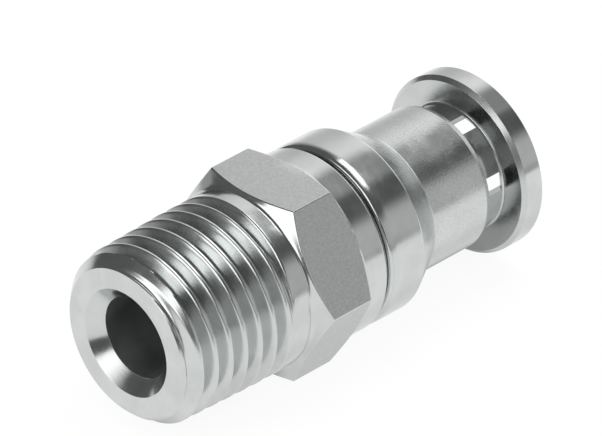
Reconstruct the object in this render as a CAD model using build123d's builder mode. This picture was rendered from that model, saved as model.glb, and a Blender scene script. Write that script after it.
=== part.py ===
from build123d import *
from math import atan, ceil, cos, degrees, radians, tan
import os

# Straight push-in fitting for a plastic tube, with a taper male pipe thread.
# The fitting lies along +X. X = 0 is the end face of the thread, and +Z is up, square to a
# flat of the hexagon. All sizes are in millimetres, and profiles are drawn as (x, radius).

# Tube that the fitting takes
tube_diameter = 8.0
pilot_clearance = 0.08
collet_clearance = 0.12
ring_clearance = 0.15
seal_squeeze = 0.08
tooth_bite = 0.06

# Thread, an R 1/4 of Whitworth form, measured over its crests at the gauge length
gauge_diameter = 13.157
gauge_length = 6.0
thread_pitch = 1.337
thread_flank_angle = 27.5
thread_depth_ratio = 0.6403
thread_taper = 1 / 16
taper_length = 7.5
lead_length = 1.0
lead_depth = 0.93
neck_length = 1.82
draw_out_start = 12.5
draw_out_turn = 100
groove_overshoot = 0.08

# Hexagon and collar
hexagon_start = 11.21
hexagon_length = 4.92
hexagon_step = 0.05
thread_shoulder = 0.25
hexagon_cone_angle = 30
collar_length = 2.47
collar_chamfer_length = 0.53
collar_chamfer_depth = 0.4

# Flow bore and tube stop
flow_diameter = 6.0
countersink_diameter = 8.0
tube_stop = 14.5
pilot_length = 3.0
pilot_lead_in = 0.3

# Seal, support ring and spigot
seal_section = 1.8
seal_clearance = 0.02
seal_chamfer = 0.3
seal_lip_width = 0.4
seal_lip_height = 0.35
ring_thickness = 0.9
ring_chamfer = 0.15
spigot_lip = 0.14
spigot_wall = 0.5

# Cap
cap_wall = 0.635
cap_cone_wall = 0.6
cap_neck_wall = 0.56
cap_cone_angle = 30
cap_joint_gap = 0.03
cap_length = 11.23
cap_front_radius = 0.4
cap_shoulder_radius = 0.8
cap_waist_radius = 0.3
cap_mouth_chamfer_length = 0.4
cap_mouth_chamfer_depth = 0.11
cap_mouth_clearance = 0.15

# Collet
release_travel = 1.5
release_reserve = 0.5
head_end_clearance = 0.1
head_step = 0.88
head_land = 0.7
head_clearance = 0.06
head_lead_in = 0.3
finger_wall = 0.6
tooth_length = 0.5
tooth_pitch = 0.75
tooth_count = 2
slot_count = 6
slot_width = 1.36
slot_bridge = 0.2
slot_start_angle = 109
flange_inset = 0.125
flange_thickness = 1.8
flange_chamfer = 0.3
mouth_lead_in = 0.5

# Radii, from the tube outwards
tube_radius = tube_diameter / 2
flow_radius = flow_diameter / 2
countersink_radius = countersink_diameter / 2
pilot_radius = tube_radius + pilot_clearance
seal_inner_radius = tube_radius - seal_squeeze
chamber_radius = seal_inner_radius + seal_section + seal_clearance
spigot_radius = chamber_radius + spigot_wall
collar_radius = spigot_radius + cap_wall
shank_radius = gauge_diameter / 2 + (taper_length - gauge_length) * thread_taper / 2
across_flats = 2 * max(collar_radius + hexagon_step / 2, shank_radius + thread_shoulder)
corner_radius = across_flats / 2 / cos(radians(30))
collet_radius = tube_radius + collet_clearance
neck_radius = collet_radius + finger_wall
head_radius = neck_radius + head_step
mouth_radius = neck_radius + cap_mouth_clearance
cap_neck_radius = mouth_radius + cap_neck_wall
flange_radius = collar_radius - flange_inset

# Stations along the axis, from the thread's end face
groove_end = hexagon_start - neck_length
groove_top = groove_end + thread_pitch * draw_out_start / 360
hexagon_end = hexagon_start + hexagon_length
collar_end = hexagon_end + collar_length
pilot_end = tube_stop + pilot_length
seal_centre = pilot_end + seal_clearance + seal_section / 2
ring_start = seal_centre + seal_section / 2 + seal_clearance
spigot_end = ring_start + ring_thickness + spigot_lip
cap_start = collar_end + cap_joint_gap
cap_end = cap_start + cap_length
head_start = spigot_end + head_end_clearance + release_travel
head_land_end = head_start + head_land
flange_start = cap_end + release_travel + release_reserve
flange_end = flange_start + flange_thickness

# Thread groove: a sixth of the pitch is left as crest and as root, and the rest are its flanks
thread_depth = thread_depth_ratio * thread_pitch
groove_root_half = thread_pitch / 12
groove_mouth_half = groove_root_half + (thread_depth + groove_overshoot) * tan(radians(thread_flank_angle))
groove_turns = ceil((groove_top + groove_mouth_half) / thread_pitch)
tool_lift = thread_depth / (1 - cos(radians(draw_out_turn)))

# Slopes, as radius lost for each millimetre along the axis or the other way round
hexagon_cone_rise = tan(radians(hexagon_cone_angle))
cap_cone_slope = tan(radians(cap_cone_angle))
cap_cone_offset = cap_cone_wall / cos(radians(cap_cone_angle))


def crest_radius(x):
    """Radius of the thread's crests at the station x: it grows by half the taper."""
    return gauge_diameter / 2 + (x - gauge_length) * thread_taper / 2


def groove_section(x):
    """Corners of the thread's groove at the station x, from its root to just above the crests."""
    root = crest_radius(x) - thread_depth
    mouth = crest_radius(x) + groove_overshoot
    return [
        (x - groove_root_half, root),
        (x + groove_root_half, root),
        (x + groove_mouth_half, mouth),
        (x - groove_mouth_half, mouth),
    ]


def cap_bore_cone(radius):
    """Station where the cap's inner cone, which the collet's heads wedge against, has a radius."""
    return head_land_end + (head_radius + head_clearance - radius) / cap_cone_slope


def cap_outer_cone(radius):
    """Station where the cap's outer cone, parallel to the inner one, has a radius."""
    return cap_bore_cone(radius - cap_cone_offset)


def ring_at(x):
    """Select the circular edges whose centre is at the station x."""
    return lambda edge: abs(edge.arc_center.X - x) < 0.001


# Body: thread, hexagon, collar and the spigot that carries the cap, turned from one hexagon bar
hexagon_depth = (corner_radius - shank_radius) * hexagon_cone_rise
hexagon_rear_depth = (corner_radius - collar_radius) * hexagon_cone_rise

with BuildPart() as body:
    with BuildSketch(Plane.YZ.offset(hexagon_start)):
        RegularPolygon(across_flats / 2, 6, major_radius=False)
    extrude(amount=hexagon_length)
    with BuildSketch(Plane.XZ):
        with BuildLine():
            Polyline(
                (hexagon_start, 0),
                (hexagon_start, shank_radius),
                (hexagon_start + hexagon_depth, corner_radius),
                (hexagon_end - hexagon_rear_depth, corner_radius),
                (hexagon_end, collar_radius),
                (hexagon_end, 0),
                close=True,
            )
        make_face()
    revolve(axis=Axis.X, mode=Mode.INTERSECT)
    with BuildSketch(Plane.XZ):
        with BuildLine():
            Polyline(
                (0, 0),
                (0, crest_radius(lead_length) - lead_depth),
                (lead_length, crest_radius(lead_length)),
                (taper_length, shank_radius),
                (hexagon_start, shank_radius),
                (hexagon_start, 0),
                close=True,
            )
        make_face()
        with BuildLine():
            Polyline(
                (hexagon_end, 0),
                (hexagon_end, collar_radius),
                (collar_end - collar_chamfer_length, collar_radius),
                (collar_end, collar_radius - collar_chamfer_depth),
                (collar_end, spigot_radius),
                (spigot_end, spigot_radius),
                (spigot_end, 0),
                close=True,
            )
        make_face()
    revolve(axis=Axis.X)
    # The groove climbs round the taper turn by turn, each from the top of the thread to the top
    for turn in range(groove_turns):
        turn_start = groove_top - (groove_turns - turn) * thread_pitch
        turn_height = min(thread_pitch, groove_end - turn_start)
        with BuildLine() as groove_root:
            Helix(
                thread_pitch,
                turn_height,
                crest_radius(turn_start) - thread_depth,
                center=(turn_start, 0, 0),
                direction=(1, 0, 0),
                cone_angle=degrees(atan(thread_taper / 2)),
            )
        with BuildSketch(Plane.XZ):
            with BuildLine():
                Polyline(*groove_section(turn_start), close=True)
            make_face()
        sweep(path=groove_root.line, is_frenet=True, mode=Mode.SUBTRACT)
    # Where the feed stops, the tool is drawn out along a circle whose centre lies off the axis
    draw_out_plane = Plane.XZ.rotated((-draw_out_start, 0, 0))
    with BuildSketch(draw_out_plane):
        with BuildLine():
            Polyline(*groove_section(groove_end), close=True)
        make_face()
    draw_out_centre = draw_out_plane.from_local_coords((0, -tool_lift, 0))
    revolve(axis=Axis(draw_out_centre, (1, 0, 0)), revolution_arc=draw_out_turn, mode=Mode.SUBTRACT)
    with BuildSketch(Plane.XZ):
        with BuildLine():
            Polyline(
                (0, 0),
                (0, countersink_radius),
                (countersink_radius - flow_radius, flow_radius),
                (tube_stop, flow_radius),
                (tube_stop, pilot_radius),
                (pilot_end - pilot_lead_in, pilot_radius),
                (pilot_end, pilot_radius + pilot_lead_in),
                (pilot_end, chamber_radius),
                (spigot_end, chamber_radius),
                (spigot_end, 0),
                close=True,
            )
        make_face()
    revolve(axis=Axis.X, mode=Mode.SUBTRACT)

body.part.label = "body"

# Seal: a moulded rubber ring in the chamber, with a blunt lip inside that grips the tube
seal_start = seal_centre - seal_section / 2
seal_end = seal_centre + seal_section / 2
seal_outer_radius = seal_inner_radius + seal_section

with BuildPart() as seal:
    with BuildSketch(Plane.XZ):
        with BuildLine():
            Polyline(
                (seal_start, seal_inner_radius + seal_lip_height),
                (seal_start, seal_outer_radius - seal_chamfer),
                (seal_start + seal_chamfer, seal_outer_radius),
                (seal_end - seal_chamfer, seal_outer_radius),
                (seal_end, seal_outer_radius - seal_chamfer),
                (seal_end, seal_inner_radius + seal_lip_height),
                (seal_centre + seal_lip_width / 2, seal_inner_radius),
                (seal_centre - seal_lip_width / 2, seal_inner_radius),
                close=True,
            )
        make_face()
    revolve(axis=Axis.X)

seal.part.label = "seal"

# Support ring: pressed into the spigot's mouth, where it keeps the seal in and guides the tube
with BuildPart() as support_ring:
    with BuildSketch(Plane.XZ) as ring_section:
        with Locations((ring_start + ring_thickness / 2, (tube_radius + ring_clearance + chamber_radius) / 2)):
            Rectangle(ring_thickness, chamber_radius - tube_radius - ring_clearance)
        chamfer(ring_section.vertices().group_by(Axis.Z)[0], ring_chamfer)
    revolve(axis=Axis.X)

support_ring.part.label = "support_ring"

# Cap: a deep-drawn sleeve with a cone between its two diameters, pressed on the spigot
with BuildPart() as cap:
    with BuildSketch(Plane.XZ):
        with BuildLine():
            Polyline(
                (cap_start, spigot_radius),
                (cap_start, collar_radius),
                (cap_outer_cone(collar_radius), collar_radius),
                (cap_outer_cone(cap_neck_radius), cap_neck_radius),
                (cap_end - cap_mouth_chamfer_length, cap_neck_radius),
                (cap_end, cap_neck_radius - cap_mouth_chamfer_depth),
                (cap_end, mouth_radius),
                (cap_bore_cone(mouth_radius), mouth_radius),
                (cap_bore_cone(spigot_radius), spigot_radius),
                close=True,
            )
        make_face()
    revolve(axis=Axis.X)
    cap_rings = cap.edges().filter_by(GeomType.CIRCLE)
    fillet(cap_rings.filter_by(ring_at(cap_start)).sort_by(SortBy.RADIUS)[-1], cap_front_radius)
    fillet(cap_rings.filter_by(ring_at(cap_outer_cone(collar_radius))), cap_shoulder_radius)
    fillet(cap_rings.filter_by(ring_at(cap_outer_cone(cap_neck_radius))), cap_waist_radius)

cap.part.label = "cap"

# Collet: six springy fingers with toothed heads, and the flange that is pressed to let the tube go
with BuildPart() as collet:
    with BuildSketch(Plane.XZ):
        with BuildLine():
            Polyline(
                (head_start, collet_radius + head_lead_in),
                (head_start, head_radius),
                (head_land_end, head_radius),
                (head_land_end + head_step / cap_cone_slope, neck_radius),
                (flange_start, neck_radius),
                (flange_start, flange_radius),
                (flange_end, flange_radius),
                (flange_end, collet_radius + mouth_lead_in),
                (flange_end - mouth_lead_in, collet_radius),
                (head_start + head_lead_in, collet_radius),
                close=True,
            )
        make_face()
        for tooth in range(tooth_count):
            tooth_start = head_start + head_lead_in + tooth * tooth_pitch
            with BuildLine():
                Polyline(
                    (tooth_start, collet_radius),
                    (tooth_start, tube_radius - tooth_bite),
                    (tooth_start + tooth_length, collet_radius),
                    close=True,
                )
            make_face()
    revolve(axis=Axis.X)
    flange_rings = collet.edges().filter_by(GeomType.CIRCLE).filter_by(ring_at(flange_start))
    chamfer(flange_rings.sort_by(SortBy.RADIUS)[-1], flange_chamfer)
    with BuildSketch(Plane.YZ.offset(head_start)):
        with PolarLocations((seal_inner_radius + head_radius) / 2, slot_count, start_angle=slot_start_angle):
            Rectangle(2 * (head_radius - seal_inner_radius), slot_width)
    extrude(amount=flange_start - slot_bridge - head_start, mode=Mode.SUBTRACT)

collet.part.label = "collet"

os.makedirs("parts", exist_ok=True)
export_step(body.part, "parts/body.step")
export_step(seal.part, "parts/seal.step")
export_step(support_ring.part, "parts/support_ring.step")
export_step(cap.part, "parts/cap.step")
export_step(collet.part, "parts/collet.step")
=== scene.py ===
from math import cos, pi, radians, sin, tan

import bmesh
import bpy
import numpy as np
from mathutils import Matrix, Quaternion, Vector


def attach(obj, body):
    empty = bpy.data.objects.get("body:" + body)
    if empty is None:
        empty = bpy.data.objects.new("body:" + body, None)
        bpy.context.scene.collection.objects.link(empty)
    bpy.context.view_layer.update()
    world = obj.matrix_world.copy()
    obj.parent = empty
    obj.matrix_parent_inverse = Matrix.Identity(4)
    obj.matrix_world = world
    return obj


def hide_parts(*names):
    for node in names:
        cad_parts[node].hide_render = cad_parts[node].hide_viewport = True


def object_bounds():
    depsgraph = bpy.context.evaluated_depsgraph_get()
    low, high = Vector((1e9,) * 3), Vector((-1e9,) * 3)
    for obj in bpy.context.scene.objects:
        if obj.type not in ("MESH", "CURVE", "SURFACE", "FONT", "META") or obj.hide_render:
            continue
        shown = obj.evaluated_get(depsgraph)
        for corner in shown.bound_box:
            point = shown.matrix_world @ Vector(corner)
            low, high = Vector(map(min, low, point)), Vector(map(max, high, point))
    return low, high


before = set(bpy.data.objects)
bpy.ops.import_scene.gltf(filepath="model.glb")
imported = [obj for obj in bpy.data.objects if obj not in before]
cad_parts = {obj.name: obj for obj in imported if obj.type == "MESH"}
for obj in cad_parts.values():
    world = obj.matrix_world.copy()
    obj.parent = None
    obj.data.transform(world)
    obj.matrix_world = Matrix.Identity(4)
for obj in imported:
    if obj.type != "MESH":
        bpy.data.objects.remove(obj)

cad_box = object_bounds()

# Camera: the photo looks down at the thread's end face from the front left, from some way off
# with a long lens. The view's centre passes through the thread's last turns.

mm = 0.001

camera_target = Vector((11.73, -4.96, 6.98)) * mm
camera_distance = 459.0 * mm
camera_elevation = radians(32.64)
camera_turn = radians(45.2)
camera_lens = 407.63
sensor_width = 36.0

view_direction = Vector(
    (
        cos(camera_elevation) * cos(camera_turn),
        cos(camera_elevation) * sin(camera_turn),
        -sin(camera_elevation),
    )
)
camera_data = bpy.data.cameras.new("camera")
camera_data.lens = camera_lens
camera_data.sensor_width = sensor_width
camera_data.clip_start = 10 * mm
camera = bpy.data.objects.new("camera", camera_data)
camera.location = camera_target - view_direction * camera_distance
camera.rotation_euler = view_direction.to_track_quat("-Z", "Y").to_euler()
bpy.context.scene.collection.objects.link(camera)
bpy.context.scene.camera = camera

# Body: thread, hexagon and collar in one piece, turned from a bright-drawn hexagon bar of
# stainless steel. The taper thread is cut with a single point, which stops its feed before the
# hexagon and is drawn out over a quarter turn, so that the last groove ends in a fading ring.

thread_pitch = 25.4 / 19 * mm
thread_depth = 0.856 * mm
flank_angle = radians(27.5)
crest_half = 0.111 * mm
gauge_radius = 13.157 / 2 * mm
gauge_station = 6.0 * mm
thread_taper = 1 / 16
taper_end = 7.5 * mm
lead_length = 1.0 * mm
lead_depth = 0.93 * mm
first_crest = 2.037 * mm
feed_stop_angle = -12.5
draw_out_angle = 100.0
fading_half_width = 0.12 * mm
crest_rounding = 0.11 * mm
root_rounding = 0.2 * mm
lead_rounding = 0.03 * mm
turns_in_full = 7

hexagon_start = 11.21 * mm
hexagon_end = 16.13 * mm
flat_radius = 6.9 * mm
corner_rounding = 0.12 * mm
cone_slope = tan(radians(60))
front_foot_blend = 0.25 * mm
rear_foot_blend = 0.25 * mm
cone_edge_blend = 0.1 * mm

collar_radius = 6.875 * mm
collar_end = 18.6 * mm
collar_chamfer_length = 0.53 * mm
collar_chamfer_depth = 0.4 * mm
chamfer_rounding = 0.16 * mm
spigot_radius = 6.24 * mm
spigot_end = 20.38 * mm
chamber_radius = 5.74 * mm
pilot_end = 17.5 * mm
pilot_radius = 4.08 * mm
pilot_lead_in = 0.3 * mm
tube_stop = 14.5 * mm
flow_radius = 3.0 * mm
countersink_radius = 4.0 * mm
countersink_depth = countersink_radius - flow_radius
bore_edge_rounding = 0.08 * mm
face_rounding = 0.06 * mm
turned_rounding = 0.05 * mm
foot_rounding = 0.04 * mm


def blend_above(a, b, width):
    """The larger of two values, with the corner between them rounded over a width."""
    overlap = np.maximum(width - np.abs(a - b), 0)
    return np.maximum(a, b) + overlap**2 / (4 * width)


def blend_below(a, b, width):
    """The smaller of two values, with the corner between them rounded over a width."""
    return -blend_above(-a, -b, width)


def rounded_outline(corners):
    """An outline of (x, radius) through corners of (x, radius, rounding), which become arcs.

    An arc's centre lies on its corner's bisector, and its points are the two end spokes mixed
    by the sines of the angles to them. One more point just outside each end of the arc keeps
    the straight sides flat in the shading. The first and the last corner stay sharp."""
    steps = 6
    guard = 0.012 * mm
    corners = np.asarray(corners)
    roundings = corners[1:-1, 2, None, None]
    places = corners[:, None, :2]
    here = places[1:-1]
    to_last = places[:-2] - here
    to_next = places[2:] - here
    to_last = to_last / np.linalg.norm(to_last, axis=-1, keepdims=True)
    to_next = to_next / np.linalg.norm(to_next, axis=-1, keepdims=True)
    opening = np.arccos(np.clip((to_last * to_next).sum(-1, keepdims=True), -1, 1))
    reach = roundings / np.tan(opening / 2)
    bisector = (to_last + to_next) / np.linalg.norm(to_last + to_next, axis=-1, keepdims=True)
    centre = here + bisector * roundings / np.sin(opening / 2)
    first_spoke = here + to_last * reach - centre
    last_spoke = here + to_next * reach - centre
    turn = pi - opening
    share = np.linspace(0, 1, steps + 1)[:, None]
    spokes = np.sin((1 - share) * turn) * first_spoke + np.sin(share * turn) * last_spoke
    arc = centre + spokes / np.sin(turn)
    before = here + to_last * (reach + guard)
    after = here + to_next * (reach + guard)
    points = np.concatenate([before, arc, after], axis=1).reshape(-1, 2)
    return np.concatenate([places[0], points, places[-1]])


def groove_depth(distance, half_width, depth):
    """Depth of the thread's groove at a distance from its middle line.

    It rises along straight flanks from zero at the half width to the full depth, and its two
    corners are rounded."""
    flank = (half_width - np.abs(distance)) / tan(flank_angle)
    with_root = blend_below(flank, depth, root_rounding)
    return np.maximum(blend_above(with_root, 0 * flank, crest_rounding), 0)


def crest_line(x):
    """Radius of the thread's crests: it grows by half the taper up to the taper's end."""
    return gauge_radius + (np.minimum(x, taper_end) - gauge_station) * thread_taper / 2


def ring_points(x, radius, angles):
    """Points at stations and radii round the axis, by angles from 0 at the top to 90 on the
    camera's side."""
    turn = np.radians(angles)
    return np.stack([x + 0 * turn, -radius * np.sin(turn), radius * np.cos(turn)], axis=-1)


def grid_quads(rows, columns, close_rows=False, close_columns=False):
    """Corner numbers of the quads of a grid of points, row by row."""
    number = np.arange(rows * columns).reshape(rows, columns)
    if close_rows:
        number = np.concatenate([number, number[:1]], axis=0)
    if close_columns:
        number = np.concatenate([number, number[:, :1]], axis=1)
    quads = np.stack([number[:-1, :-1], number[1:, :-1], number[1:, 1:], number[:-1, 1:]], axis=-1)
    return quads.reshape(-1, 4)


def make_piece(name, points, faces, body, node):
    """A mesh object from points and faces, with its doubles merged and its faces turned outwards.

    It is shaded smooth up to a crease angle."""
    crease = radians(35)
    merge_distance = 0.0002 * mm
    mesh = bpy.data.meshes.new(name)
    mesh.from_pydata(points, [], faces)
    work = bmesh.new()
    work.from_mesh(mesh)
    bmesh.ops.remove_doubles(work, verts=work.verts, dist=merge_distance)
    bmesh.ops.recalc_face_normals(work, faces=work.faces)
    work.to_mesh(mesh)
    work.free()
    mesh.polygons.foreach_set("use_smooth", np.ones(len(mesh.polygons), bool))
    mesh.set_sharp_from_angle(angle=crease)
    piece = bpy.data.objects.new(name, mesh)
    bpy.context.scene.collection.objects.link(piece)
    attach(piece, body)
    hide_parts(node)
    return piece


# The body's columns run round the axis at an even step, with more of them at the six corners,
# where the bar's edge is slightly round: six on the round edge, and one beyond it on each side.
column_step = 2.5
corner_radius = flat_radius / cos(radians(30))
edge_centre = corner_radius - corner_rounding / sin(radians(60))
edge_end = edge_centre + corner_rounding * cos(radians(30))
edge_reach = np.degrees(np.arctan2(corner_rounding * sin(radians(30)), edge_end))
even_columns = np.arange(0, 60, column_step)
edge_columns = edge_reach * np.array([-2.2, -1.0, -0.66, -0.33, 0.33, 0.66, 1.0, 2.2])
sector_columns = np.sort(np.concatenate([even_columns, (30 + edge_columns) % 60]))
all_columns = (sector_columns + 60 * np.arange(6)[:, None]).ravel()
body_columns = np.sort((all_columns - feed_stop_angle) % 360) + feed_stop_angle

from_flat = (body_columns + 30) % 60 - 30
from_corner = np.radians(body_columns % 60 - 30)
on_edge = np.abs(from_corner) <= radians(edge_reach) + 1e-9
bar_edge = edge_centre * np.cos(from_corner) + np.sqrt(
    np.maximum(corner_rounding**2 - (edge_centre * np.sin(from_corner)) ** 2, 0)
)
bar_radius = np.where(on_edge, bar_edge, flat_radius / np.cos(np.radians(from_flat)))
shank_radius = crest_line(taper_end)


def foot_curve(distance, blend):
    """Height of a hexagon cone above its foot at a distance along the axis, with a rounded foot."""
    return blend_above(0 * distance, distance * cone_slope, blend)


def foot_distance(height, blend):
    """Distance along the axis at which the hexagon cone reaches a height: the inverse of foot_curve."""
    curved = 2 * np.sqrt(blend * np.maximum(height, 0)) - blend
    return np.where(height > blend, height, curved) / cone_slope


def hexagon_radius(x, bar):
    """The bar's radius, cut down by the cones at both ends of the hexagon."""
    front = shank_radius + foot_curve(x - hexagon_start, front_foot_blend)
    rear = collar_radius + foot_curve(hexagon_end - x, rear_foot_blend)
    return blend_below(bar, np.minimum(front, rear), cone_edge_blend)


def thread_surface(x, angles):
    """Radius of the thread below its lead cone: the crest line less a groove.

    The groove climbs one pitch for each turn, and its depth follows from the distance along the
    axis to its middle line."""
    climb = thread_pitch * (angles - feed_stop_angle) / 360
    from_crest = (x - climb - first_crest) % thread_pitch
    groove = groove_depth(from_crest - thread_pitch / 2, thread_pitch / 2 - crest_half, thread_depth)
    lead = crest_line(lead_length) - lead_depth * (1 - x / lead_length)
    return blend_below(lead, crest_line(x) - groove, lead_rounding)


# The rows of one pitch lie close together on the rounded crest and in the rounded root, and
# wide apart on the flanks.
root_reach = crest_half + thread_depth * tan(flank_angle)
half_pitch_rows = np.concatenate(
    [
        np.linspace(0, 2 * crest_half, 8),
        np.array([0.45, 0.6]) * root_reach,
        np.linspace(root_reach - root_rounding / 2, root_reach + root_rounding / 2, 7),
    ]
)
pitch_rows = np.concatenate([half_pitch_rows, [thread_pitch / 2], thread_pitch - half_pitch_rows[:0:-1]])
full_turns = np.arange(turns_in_full) - 2
helix_rows = (first_crest + full_turns[:, None] * thread_pitch + pitch_rows).ravel()
last_crest = first_crest + (full_turns[-1] + 1) * thread_pitch

# Helical part: its rows climb with the groove, and those before the lead cone's edge stay on
# that edge. Two of the turns begin there.
thread_columns = np.append(body_columns, feed_stop_angle + 360)
turned_by = thread_columns - feed_stop_angle
helix_x = np.maximum(helix_rows[:, None] + thread_pitch * turned_by / 360, lead_length)
helix_radius = thread_surface(helix_x, thread_columns)

# Drawn-out part: the groove keeps its station while the tool leaves it, and grows shallow.
ring_middle = last_crest + thread_pitch / 2
neck_start = last_crest + thread_pitch
fading = np.minimum(turned_by, draw_out_angle)
tool_lift = thread_depth / (1 - cos(radians(draw_out_angle)))
ring_depth = thread_depth - tool_lift * (1 - np.cos(np.radians(fading)))
ring_half = ring_depth * tan(flank_angle) + (thread_pitch / 2 - root_reach)
row_half = np.maximum(ring_half, fading_half_width)
full_half = thread_pitch / 2 - crest_half
lower_edge = last_crest + thread_pitch * turned_by / 360
fading_edge = last_crest + thread_pitch * fading / 360
narrowing = (neck_start - lower_edge) / (neck_start - fading_edge)
rise = np.append(pitch_rows, thread_pitch)[:, None]
below = np.clip(rise / crest_half, 0, 1) * (ring_middle - row_half - fading_edge)
inside = np.clip((rise - crest_half) / (2 * full_half), 0, 1) * 2 * row_half
above = np.clip((rise - crest_half - 2 * full_half) / crest_half, 0, 1)
above = above * (neck_start - ring_middle - row_half)
ring_x = lower_edge + narrowing * (below + inside + above)
ring_groove = groove_depth(ring_x - ring_middle, ring_half, ring_depth)
ring_radius = crest_line(ring_x) - ring_groove

thread_x = np.concatenate([helix_x, ring_x])
thread_radius = np.concatenate([helix_radius, ring_radius])
thread_points = ring_points(thread_x, thread_radius, thread_columns)

# The rest is a ring of rows from the neck over the hexagon and collar, back through the bore
# and round the end face to the lead cone.
hexagon_front_edge = hexagon_start + foot_distance(bar_radius - shank_radius, front_foot_blend)
hexagon_rear_edge = hexagon_end - foot_distance(bar_radius - collar_radius, rear_foot_blend)
edge_rows = np.array([-0.07, -0.05, -0.025, 0, 0.025, 0.05, 0.07])[:, None] * mm
flat_rows = np.array([0.25, 0.5, 0.75])[:, None]
past_foot = 1.3
neck_end = hexagon_start - past_foot * front_foot_blend / cone_slope
collar_start = hexagon_end + past_foot * rear_foot_blend / cone_slope
share = np.linspace(0, 1, 12)[:, None]
hexagon_x = np.concatenate(
    [
        np.full((1, len(body_columns)), neck_start),
        neck_end + share[:-1] * (hexagon_front_edge + edge_rows[0] - neck_end),
        hexagon_front_edge + edge_rows,
        hexagon_front_edge + flat_rows * (hexagon_rear_edge - hexagon_front_edge),
        hexagon_rear_edge + edge_rows,
        collar_start - share[-2::-1] * (collar_start - hexagon_rear_edge - edge_rows[-1]),
    ]
)
hexagon_profile_radius = hexagon_radius(hexagon_x, bar_radius)

bore_outline = rounded_outline(
    [
        (collar_start, collar_radius, 0),
        (collar_end - collar_chamfer_length, collar_radius, chamfer_rounding),
        (collar_end, collar_radius - collar_chamfer_depth, turned_rounding),
        (collar_end, spigot_radius, foot_rounding),
        (spigot_end, spigot_radius, face_rounding),
        (spigot_end, chamber_radius, face_rounding),
        (pilot_end, chamber_radius, turned_rounding),
        (pilot_end, pilot_radius + pilot_lead_in, turned_rounding),
        (pilot_end - pilot_lead_in, pilot_radius, turned_rounding),
        (tube_stop, pilot_radius, turned_rounding),
        (tube_stop, flow_radius, turned_rounding),
        (countersink_depth, flow_radius, bore_edge_rounding),
        (0, countersink_radius, turned_rounding),
        (0, crest_line(lead_length) - lead_depth, face_rounding),
        (lead_length, crest_line(lead_length), 0),
    ]
)[1:-1]
lead_rows = np.linspace(bore_outline[-1, 0], lead_length, 24)[1:]
ring_rows_x = np.concatenate(
    [
        hexagon_x,
        np.broadcast_to(bore_outline[:, :1], (len(bore_outline), len(body_columns))),
        np.broadcast_to(lead_rows[:, None], (len(lead_rows), len(body_columns))),
    ]
)
ring_rows_radius = np.concatenate(
    [
        hexagon_profile_radius,
        np.broadcast_to(bore_outline[:, 1:], (len(bore_outline), len(body_columns))),
        thread_surface(lead_rows[:, None], body_columns),
    ]
)
turned_points = ring_points(ring_rows_x, ring_rows_radius, body_columns)

thread_quads = grid_quads(*thread_x.shape)
turned_quads = grid_quads(*ring_rows_x.shape, close_columns=True)
body_piece = make_piece(
    "threaded_body",
    np.concatenate([thread_points.reshape(-1, 3), turned_points.reshape(-1, 3)]),
    np.concatenate([thread_quads, turned_quads + thread_x.size]).tolist(),
    "housing",
    "body",
)


class Wire:
    """An output socket of a node tree, for use in formulas: each operator adds its Math node."""

    def __init__(self, tree, socket=None):
        self.tree = tree
        self.socket = socket

    def add(self, kind, settings, inputs, output=0):
        """Add a node of a type, with its settings and its sockets' values or links, and wrap one
        of its outputs."""
        node = self.tree.nodes.new(kind)
        for name, value in settings.items():
            setattr(node, name, value)
        for name, value in inputs.items():
            if isinstance(value, Wire):
                self.tree.links.new(value.socket, node.inputs[name])
            else:
                node.inputs[name].default_value = value
        return Wire(self.tree, node.outputs[output] if len(node.outputs) else None)

    def other(self, output):
        """Another output of the same node, by its name."""
        return Wire(self.tree, self.socket.node.outputs[output])

    def math(self, operation, first, second):
        """A Math node on two values or wires."""
        return self.add("ShaderNodeMath", {"operation": operation}, {0: first, 1: second})

    def __add__(self, other):
        return self.math("ADD", self, other)

    def __sub__(self, other):
        return self.math("SUBTRACT", self, other)

    def __rsub__(self, other):
        return self.math("SUBTRACT", other, self)

    def __mul__(self, other):
        return self.math("MULTIPLY", self, other)

    def __pow__(self, power):
        return self.math("POWER", self, power)

    def step(self, start, end):
        """A smooth change from 0 at the start to 1 at the end, and level beyond them."""
        limits = {"Value": self, "From Min": start, "From Max": end}
        return self.add("ShaderNodeMapRange", {"interpolation_type": "SMOOTHSTEP"}, limits)

    __radd__ = __add__
    __rmul__ = __mul__


def new_finish(name):
    """A material with an empty node tree, and a loose wire to start its formulas from."""
    material = bpy.data.materials.new(name)
    material.use_nodes = True
    material.node_tree.nodes.clear()
    return material, Wire(material.node_tree)


def colour_mix(wire, share, dark, light):
    """A colour between two greys or colours, by a share."""
    ends = {"Factor": share, 6: (*dark, 1), 7: (*light, 1)}
    return wire.add("ShaderNodeMix", {"data_type": "RGBA"}, ends, output=2)


def noise(place, scale, detail, roughness):
    """A noise from 0 to 1 of a place, with cells of one metre over the scale."""
    inputs = {"Vector": place, "Scale": scale, "Detail": detail, "Roughness": roughness}
    return place.add("ShaderNodeTexNoise", {}, inputs)


def shades(colour, darker, lighter):
    """A colour times each of two factors, for the ends of a mix."""
    return [c * darker for c in colour], [c * lighter for c in colour]


def lay_finish(wire, tint, metallic, roughness, height):
    """The surface of a material: its tint and roughness, and a relief of a height in metres."""
    relief = wire.add("ShaderNodeBump", {}, {"Strength": 1.0, "Distance": 1.0, "Height": height})
    surface = wire.add(
        "ShaderNodeBsdfPrincipled",
        {},
        {"Base Color": tint, "Metallic": metallic, "Roughness": roughness, "Normal": relief},
    )
    wire.add("ShaderNodeOutputMaterial", {}, {"Surface": surface})


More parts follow.
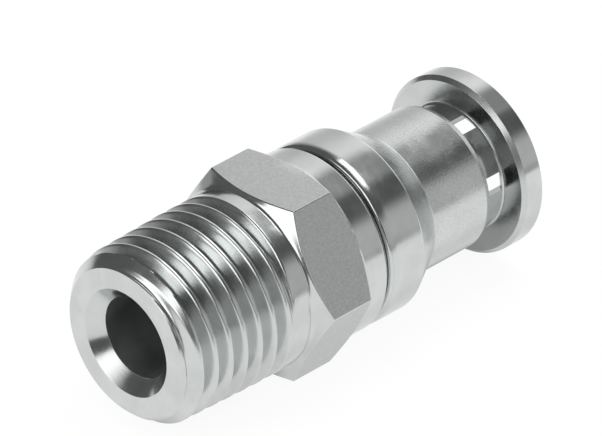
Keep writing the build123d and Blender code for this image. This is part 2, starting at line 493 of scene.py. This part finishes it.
def turned_steel(name, colour, roughness, mottle, mark_depth, grain_depth, mark_scale=3000.0):
    """Bright turned stainless steel: fine rings left by the tool, cloudy polish and a fine grain.

    The rings are a noise of the station along the axis and of the radius, so they run round
    cylinders, cones and faces alike. A small share of the other directions, the drift, lets
    them change slowly on the way round."""
    drift = 0.02
    material, wire = new_finish(name)
    place = wire.add("ShaderNodeTexCoord", {}, {}, output=3)
    along = wire.add("ShaderNodeSeparateXYZ", {}, {"Vector": place})
    across = along.other("Y")
    up = along.other("Z")
    radius = (across**2 + up**2) ** 0.5
    ring_parts = {"X": along + across * drift, "Y": radius + up * drift, "Z": across * drift}
    ring_place = wire.add("ShaderNodeCombineXYZ", {}, ring_parts)
    rings = noise(ring_place, scale=mark_scale, detail=3.0, roughness=0.65)
    grain = noise(place, scale=9000.0, detail=2.0, roughness=0.7)
    clouds = noise(place, scale=420.0, detail=3.0, roughness=0.6).step(0.35, 0.65)
    tint = colour_mix(wire, clouds, *shades(colour, darker=0.95, lighter=1.04))
    uneven = (clouds + rings - 1) * mottle
    lay_finish(wire, tint, 1.0, uneven + roughness, rings * mark_depth + grain * grain_depth)
    return material


def drawn_steel(name, colour, roughness, streak_depth, grain_depth):
    """Satin steel of the hexagon's flats: a fine even grain with faint streaks along the bar."""
    material, wire = new_finish(name)
    place = wire.add("ShaderNodeTexCoord", {}, {}, output=3)
    stretched = wire.add("ShaderNodeMapping", {}, {"Vector": place, "Scale": (0.04, 1.0, 1.0)})
    streaks = noise(stretched, scale=5000.0, detail=3.0, roughness=0.6)
    grain = noise(place, scale=6000.0, detail=2.0, roughness=0.7)
    tint = colour_mix(wire, grain.step(0.3, 0.7), *shades(colour, darker=0.9, lighter=1.08))
    uneven = (streaks - 0.5) * 0.1
    lay_finish(wire, tint, 1.0, uneven + roughness, streaks * streak_depth + grain * grain_depth)
    return material


def face_places(mesh):
    """Centres and outward directions of a mesh's faces, as two arrays of (x, y, z)."""
    centres = np.empty(len(mesh.polygons) * 3)
    facings = np.empty(len(mesh.polygons) * 3)
    mesh.polygons.foreach_get("center", centres)
    mesh.polygons.foreach_get("normal", facings)
    return centres.reshape(-1, 3), facings.reshape(-1, 3)


micron = 0.001 * mm
steel_colour = (0.59, 0.608, 0.603)
dull_colour = (0.57, 0.588, 0.583)
flat_colour = (0.511, 0.527, 0.522)
body_finishes = (
    turned_steel(
        "bright_turned_steel",
        steel_colour,
        roughness=0.16,
        mottle=0.06,
        mark_depth=1.0 * micron,
        grain_depth=0.1 * micron,
    ),
    drawn_steel(
        "satin_bar_flats",
        flat_colour,
        roughness=0.3,
        streak_depth=1.0 * micron,
        grain_depth=1.5 * micron,
    ),
    turned_steel(
        "drilled_bore_steel",
        steel_colour,
        roughness=0.42,
        mottle=0.1,
        mark_depth=6.0 * micron,
        grain_depth=1.0 * micron,
        mark_scale=2000.0,
    ),
    turned_steel(
        "cut_thread_steel",
        steel_colour,
        roughness=0.2,
        mottle=0.08,
        mark_depth=2.4 * micron,
        grain_depth=0.4 * micron,
    ),
    turned_steel(
        "countersink_steel",
        dull_colour,
        roughness=0.2,
        mottle=0.1,
        mark_depth=3.0 * micron,
        grain_depth=0.4 * micron,
    ),
)

# The flats keep the bar's drawn skin: these are the faces that lie at a flat's distance from the
# axis. The flow bore is left as drilled, and the thread and the countersink show the marks of
# their tools. All the other faces are bright.
on_surface = 0.01 * mm
body_mesh = body_piece.data
centres, facings = face_places(body_mesh)
station = centres[:, 0]
from_axis = np.hypot(centres[:, 1], centres[:, 2])
outwards = (centres[:, 1:] * facings[:, 1:]).sum(1)
is_flat = (np.abs(outwards - flat_radius) < on_surface) & (np.abs(facings[:, 0]) < 0.02)
is_flat &= (station > hexagon_start) & (station < collar_start)
is_bore = from_axis < flow_radius + on_surface
is_thread = (from_axis > countersink_radius) & (station < neck_start) & (facings[:, 0] > -0.99)
is_countersink = ~is_bore & (from_axis < countersink_radius - turned_rounding)
is_countersink &= station < countersink_depth
finish_number = np.select([is_flat, is_bore, is_thread, is_countersink], [1, 2, 3, 4])
for finish in body_finishes:
    body_mesh.materials.append(finish)
body_mesh.polygons.foreach_set("material_index", finish_number.astype(np.int32))

# Cap: a deep-drawn stainless sleeve with a cone between two diameters. It is pressed on the
# body's spigot behind the collar, and its front edge is rounded by the drawing.

cap_start = 18.63 * mm
cap_end = 29.86 * mm
cap_radius = collar_radius
cap_neck_radius = 5.43 * mm
cap_cone_start = 21.776 * mm
cap_cone_end = 24.278 * mm
cap_inner_cone_start = 21.675 * mm
cap_inner_cone_end = 24.048 * mm
cap_mouth_radius = 4.87 * mm
cap_mouth_chamfer = 0.4 * mm
cap_mouth_drop = 0.11 * mm
cap_edge_drop = 0.125 * mm
cap_edge_length = 0.5 * mm
cap_edge_rounding = 0.3 * mm
cap_edge_fade = 2.2 * mm
cap_cone_start_rounding = 0.25 * mm
cap_cone_end_rounding = 0.3 * mm
cap_inner_rounding = 0.1 * mm
around = np.arange(0, 360, 2.0)


def turned_ring(name, corners, body, node):
    """A ring turned from a closed outline of corners of (x, radius, rounding)."""
    outline = rounded_outline([*corners, corners[0], corners[1]])[1:-1]
    points = ring_points(outline[:, :1], outline[:, 1:], around)
    faces = grid_quads(len(outline), len(around), close_rows=True, close_columns=True)
    return make_piece(name, points.reshape(-1, 3), faces.tolist(), body, node)


cap_piece = turned_ring(
    "drawn_cap",
    [
        (cap_start, spigot_radius, foot_rounding),
        (cap_start, cap_radius - cap_edge_drop, cap_edge_rounding),
        (cap_start + cap_edge_length, cap_radius, cap_edge_fade),
        (cap_cone_start, cap_radius, cap_cone_start_rounding),
        (cap_cone_end, cap_neck_radius, cap_cone_end_rounding),
        (cap_end - cap_mouth_chamfer, cap_neck_radius, turned_rounding),
        (cap_end, cap_neck_radius - cap_mouth_drop, turned_rounding),
        (cap_end, cap_mouth_radius, turned_rounding),
        (cap_inner_cone_end, cap_mouth_radius, cap_inner_rounding),
        (cap_inner_cone_start, spigot_radius, cap_cone_end_rounding),
    ],
    "housing",
    "cap",
)


def pressed_steel(name, colour, roughness, fine_grain, coarse_grain, coarse_from, coarse_to):
    """Satin steel of a drawn sleeve, with clouds and an orange-peel grain.

    The grain's height and its speckles grow along the axis between two stations."""
    material, wire = new_finish(name)
    place = wire.add("ShaderNodeTexCoord", {}, {}, output=3)
    along = wire.add("ShaderNodeSeparateXYZ", {}, {"Vector": place})
    coarseness = along.step(coarse_from, coarse_to)
    grain = noise(place, scale=9000.0, detail=1.0, roughness=0.6)
    clouds = noise(place, scale=500.0, detail=3.0, roughness=0.6).step(0.35, 0.65)
    speckle = clouds * 0.3 + (grain - 0.5) * coarseness * 1.4 + 0.5
    tint = colour_mix(wire, speckle, *shades(colour, darker=0.84, lighter=1.08))
    uneven = (clouds - 0.5) * 0.08 + coarseness * 0.05
    height = grain * (coarseness * (coarse_grain - fine_grain) + fine_grain)
    lay_finish(wire, tint, 1.0, uneven + roughness, height)
    return material


cap_steel = pressed_steel(
    "drawn_cap_steel",
    steel_colour,
    roughness=0.17,
    fine_grain=2.5 * micron,
    coarse_grain=9.0 * micron,
    coarse_from=cap_cone_start,
    coarse_to=cap_cone_end,
)
cap_piece.data.materials.append(cap_steel)

# Collet: turned stainless steel, with a flange that is pressed to let the tube go and six
# sprung fingers between six milled slots. The fingers end in wedge heads with two teeth inside.

collet_radius = 4.12 * mm
neck_radius = 4.72 * mm
head_radius = 5.6 * mm
head_start = 21.98 * mm
head_land_end = 22.68 * mm
head_slope_end = head_land_end + (head_radius - neck_radius) / tan(radians(30))
head_lead_in = 0.3 * mm
tooth_radius = 3.94 * mm
tooth_length = 0.5 * mm
tooth_pitch = 0.75 * mm
slot_half_width = 0.68 * mm
slot_end = 31.66 * mm
slot_end_slope = 0.44 * mm
slot_count = 6
first_slot_angle = 19.0
flange_start = 31.86 * mm
flange_end = 33.66 * mm
flange_radius = 6.75 * mm
flange_chamfer = 0.3 * mm
flange_foot_rounding = 0.17 * mm
mouth_lead_in = 0.5 * mm
mouth_rounding = 0.1 * mm
tooth_rounding = 0.01 * mm
tooth_root_rounding = 0.02 * mm
head_land_rounding = 0.1 * mm
head_foot_rounding = 0.2 * mm
finger_steps = 16
slot_steps = 6

flange_outline = rounded_outline(
    [
        (slot_end, neck_radius, 0),
        (flange_start, neck_radius, flange_foot_rounding),
        (flange_start, flange_radius - flange_chamfer, foot_rounding),
        (flange_start + flange_chamfer, flange_radius, foot_rounding),
        (flange_end, flange_radius, face_rounding),
        (flange_end, collet_radius + mouth_lead_in, face_rounding),
        (flange_end - mouth_lead_in, collet_radius, mouth_rounding),
        (slot_end + slot_end_slope, collet_radius, 0),
    ]
)
tooth_starts = head_start + head_lead_in + tooth_pitch * np.arange(2)
finger_outline = rounded_outline(
    [
        (slot_end + slot_end_slope, collet_radius, 0),
        (tooth_starts[1] + tooth_length, collet_radius, tooth_root_rounding),
        (tooth_starts[1], tooth_radius, tooth_rounding),
        (tooth_starts[1], collet_radius, tooth_root_rounding),
        (tooth_starts[0] + tooth_length, collet_radius, tooth_root_rounding),
        (tooth_starts[0], tooth_radius, tooth_rounding),
        (head_start, collet_radius + head_lead_in, turned_rounding),
        (head_start, head_radius, face_rounding),
        (head_land_end, head_radius, head_land_rounding),
        (head_slope_end, neck_radius, head_foot_rounding),
        (slot_end, neck_radius, 0),
    ]
)[1:-1]
collet_outline = np.concatenate([flange_outline, finger_outline])


def collet_angles(radius):
    """Angles of the columns at a radius.

    The slots' walls are parallel, so a slot's half angle is the arc sine of its half width over
    the radius, and the fingers share what is left of the turn."""
    half_slot = np.degrees(np.arcsin(slot_half_width / radius))
    sector = 360 / slot_count
    finger = half_slot + (sector - 2 * half_slot) * np.linspace(0, 1, finger_steps + 1)
    slot = half_slot * np.linspace(-1, 1, slot_steps + 1)[1:-1]
    starts = first_slot_angle + sector * np.arange(slot_count)[:, None, None]
    one_sector = np.concatenate([finger, slot + sector], axis=1)
    return np.moveaxis(starts + one_sector, 0, 1).reshape(len(radius), -1)


collet_radii = collet_outline[:, 1:]
collet_points = ring_points(collet_outline[:, :1], collet_radii, collet_angles(collet_radii))
collet_rows, collet_columns = collet_points.shape[:2]

# The fingers' rows have no quads over the slots. Each slot is closed there by a wall on either
# side, which is one face round the finger's outline, and by its sloped end in the flange.
quads = grid_quads(collet_rows, collet_columns, close_rows=True, close_columns=True)
quads = quads.reshape(collet_rows, collet_columns, 4)
corner = np.arange(collet_rows * collet_columns).reshape(collet_rows, collet_columns)
corner = np.concatenate([corner, corner[:, :1]], axis=1)
corner = np.concatenate([corner, corner[:1]], axis=0)
last_flange_row = len(flange_outline) - 1
in_slot = np.arange(collet_columns) % (finger_steps + slot_steps) >= finger_steps
flange_quads = quads[:last_flange_row].reshape(-1, 4)
finger_quads = quads[last_flange_row:, ~in_slot].reshape(-1, 4)
slot_columns = np.flatnonzero(in_slot)
slot_floor = np.stack(
    [
        corner[0, slot_columns],
        corner[last_flange_row, slot_columns],
        corner[last_flange_row, slot_columns + 1],
        corner[0, slot_columns + 1],
    ],
    axis=-1,
)
sector_starts = np.arange(slot_count)[:, None] * (finger_steps + slot_steps)
wall_columns = sector_starts + np.array([0, finger_steps])
finger_walls = corner[last_flange_row:, wall_columns.ravel()].T
collet_piece = make_piece(
    "release_collet",
    collet_points.reshape(-1, 3),
    np.concatenate([flange_quads, finger_quads, slot_floor]).tolist() + finger_walls.tolist(),
    "collet",
    "collet",
)

# The flange's front face and its chamfer are duller than the rest.
rim_steel = turned_steel(
    "turned_collet_steel",
    steel_colour,
    roughness=0.12,
    mottle=0.04,
    mark_depth=1.0 * micron,
    grain_depth=0.1 * micron,
)
faced_steel = turned_steel(
    "faced_flange_steel",
    dull_colour,
    roughness=0.26,
    mottle=0.06,
    mark_depth=1.0 * micron,
    grain_depth=2.0 * micron,
)
collet_mesh = collet_piece.data
collet_mesh.materials.append(rim_steel)
collet_mesh.materials.append(faced_steel)
centres, facings = face_places(collet_mesh)
is_faced = (facings[:, 0] < -0.6) & (centres[:, 0] > slot_end)
collet_mesh.polygons.foreach_set("material_index", is_faced.astype(np.int32))

# Seal and support ring: a black rubber ring in the body's chamber, and the turned steel ring
# that is pressed in behind it. Both lie inside, where only the open mouth shows them.

rubber, wire = new_finish("black_rubber")
place = wire.add("ShaderNodeTexCoord", {}, {}, output=3)
skin = noise(place, scale=5000.0, detail=4.0, roughness=0.5)
rubber_tint = colour_mix(wire, skin, (0.012, 0.012, 0.012), (0.03, 0.03, 0.03))
lay_finish(wire, rubber_tint, 0.0, skin * 0.2 + 0.5, skin * (2.0 * micron))
ring_colour = (0.541, 0.557, 0.552)
ring_steel = turned_steel(
    "turned_ring_steel",
    ring_colour,
    roughness=0.28,
    mottle=0.06,
    mark_depth=1.2 * micron,
    grain_depth=0.4 * micron,
    mark_scale=2600.0,
)
for node, finish in (("seal", rubber), ("support_ring", ring_steel)):
    ring_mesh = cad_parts[node].data
    ring_mesh.materials.clear()
    ring_mesh.materials.append(finish)

# Floor and light: a white table under two lamps, a broad one on the thread's side and a small
# one above. The metal also mirrors the table's edge on the camera's side, a window beyond the
# mouth, a frosted pane, a glow low behind it and a grey wall, all under a dark ceiling.

floor_size = 4.0
floor_level = cad_box[0].z
floor_mesh = bpy.data.meshes.new("floor")
floor_corners = np.array([(-1, -1, 0), (1, -1, 0), (1, 1, 0), (-1, 1, 0)]) * floor_size / 2
floor_mesh.from_pydata(floor_corners + np.array([0, 0, floor_level]), [], [(0, 1, 2, 3)])
floor = bpy.data.objects.new("floor", floor_mesh)
bpy.context.scene.collection.objects.link(floor)

floor_paint, wire = new_finish("white_floor")
seen_by_camera = wire.add("ShaderNodeLightPath", {}, {})
seen_by_gloss = seen_by_camera.other("Is Glossy Ray")
painted = wire.add("ShaderNodeBsdfDiffuse", {}, {"Color": (0.8, 0.8, 0.8, 1)})
place = wire.add("ShaderNodeTexCoord", {}, {}, output=3)
along = wire.add("ShaderNodeSeparateXYZ", {}, {"Vector": place})
sideways = along.other("Y")

# The table as the metal mirrors it, seen only by glossy rays: dim past its edge on the camera's side,
# more so towards the thread, and dim at its far corner and beyond the mouth. Under the fitting it
# carries a painted shadow in the metal's reflections.
past_edge = 0.45 - along.step(-20 * mm, -60 * mm) * 0.3
table = past_edge + sideways.step(-75 * mm, -65 * mm) * (1 - past_edge)
far_corner = sideways.step(60 * mm, 90 * mm) * along.step(20 * mm, -30 * mm) * 0.6
far_end = sideways.step(-20 * mm, 30 * mm) * along.step(40 * mm, 100 * mm) * 0.27
off_axis = sideways**2
# Painted shadow: the table's glow is darkened close under the fitting, for glossy rays only; the camera
# sees white there.
painted_close_shadow = off_axis.step(14 * mm**2, 2 * mm**2) * 0.45
painted_wide_shadow = off_axis.step(100 * mm**2, 30 * mm**2) * 0.15
painted_shadow = (painted_close_shadow + painted_wide_shadow) * along.step(-1 * mm, 3 * mm)
mirrored = table * (1 - far_corner - far_end) * (1 - painted_shadow)
sheet = colour_mix(wire, mirrored + seen_by_camera, (0, 0, 0), (1, 1, 1))
shining = wire.add("ShaderNodeEmission", {}, {"Color": sheet, "Strength": 1.06})
shining_share = seen_by_camera * 0.86 + seen_by_gloss * 0.95
floor_surface = wire.add("ShaderNodeMixShader", {}, {0: shining_share, 1: painted, 2: shining})
wire.add("ShaderNodeOutputMaterial", {}, {"Surface": floor_surface})
floor_mesh.materials.append(floor_paint)

studio = bpy.data.worlds.new("studio")
studio.use_nodes = True
studio.node_tree.nodes.clear()
bpy.context.scene.world = studio
wire = Wire(studio.node_tree)
seen_by_camera = wire.add("ShaderNodeLightPath", {}, {})
seen_by_gloss = seen_by_camera.other("Is Glossy Ray")
direction = wire.add("ShaderNodeTexCoord", {}, {}, output=0)
ahead = wire.add("ShaderNodeSeparateXYZ", {}, {"Vector": direction})
sideways = ahead.other("Y")
up = ahead.other("Z")

# The room as the metal mirrors it, by direction. The camera sees it white.
plain_level = 0.75
ceiling_level = 0.12
window_level = 0.76
pane_level = 0.22
glow_level = 0.8
wall_level = 0.48
beyond_mouth = ahead.step(0.35, 0.58)
window = sideways.step(0.16, 0.42) * beyond_mouth * (up.step(0.2, 0.75) * 0.55 + 0.45)
pane = sideways.step(-0.3, -0.18) * beyond_mouth
glow = sideways.step(-0.35, -0.2) * ahead.step(0.66, 0.76) * up.step(0.12, 0.22)
wall = sideways.step(-0.25, -0.5) * up.step(0.58, 0.36) * ahead.step(-0.65, -0.45)
bright = window * window_level + pane * pane_level + glow * glow_level + wall * wall_level
reflected = bright + ceiling_level
level = seen_by_camera * (1 - plain_level) + seen_by_gloss * (reflected - plain_level) + plain_level
sky = wire.add("ShaderNodeBackground", {}, {"Color": (1, 1, 1, 1), "Strength": level})
wire.add("ShaderNodeOutputWorld", {}, {"Surface": sky})

object_middle = (cad_box[0] + cad_box[1]) / 2


def soft_lamp(name, direction, distance, width, height, roll, radiance):
    """A flat lamp that faces the object from a direction, rolled about it by an angle in degrees.

    Its power is its radiance times pi times its area."""
    data = bpy.data.lights.new(name, "AREA")
    data.shape = "RECTANGLE"
    data.size = width
    data.size_y = height
    data.energy = radiance * pi * width * height
    lamp = bpy.data.objects.new(name, data)
    towards = Vector(direction).normalized()
    lamp.location = object_middle + towards * distance
    facing = (-towards).to_track_quat("-Z", "Y")
    lamp.rotation_euler = (Quaternion(towards, radians(roll)) @ facing).to_euler()
    lamp.visible_camera = False
    bpy.context.scene.collection.objects.link(lamp)


soft_lamp(
    "thread_side_lamp",
    direction=(-0.906, -0.02, 0.423),
    distance=0.6,
    width=0.53,
    height=0.37,
    roll=5,
    radiance=1.8,
)
soft_lamp(
    "top_lamp",
    direction=(0.39, -0.03, 0.92),
    distance=0.15,
    width=0.104,
    height=0.038,
    roll=0,
    radiance=2.7,
)

bpy.context.scene.view_settings.view_transform = "Standard"
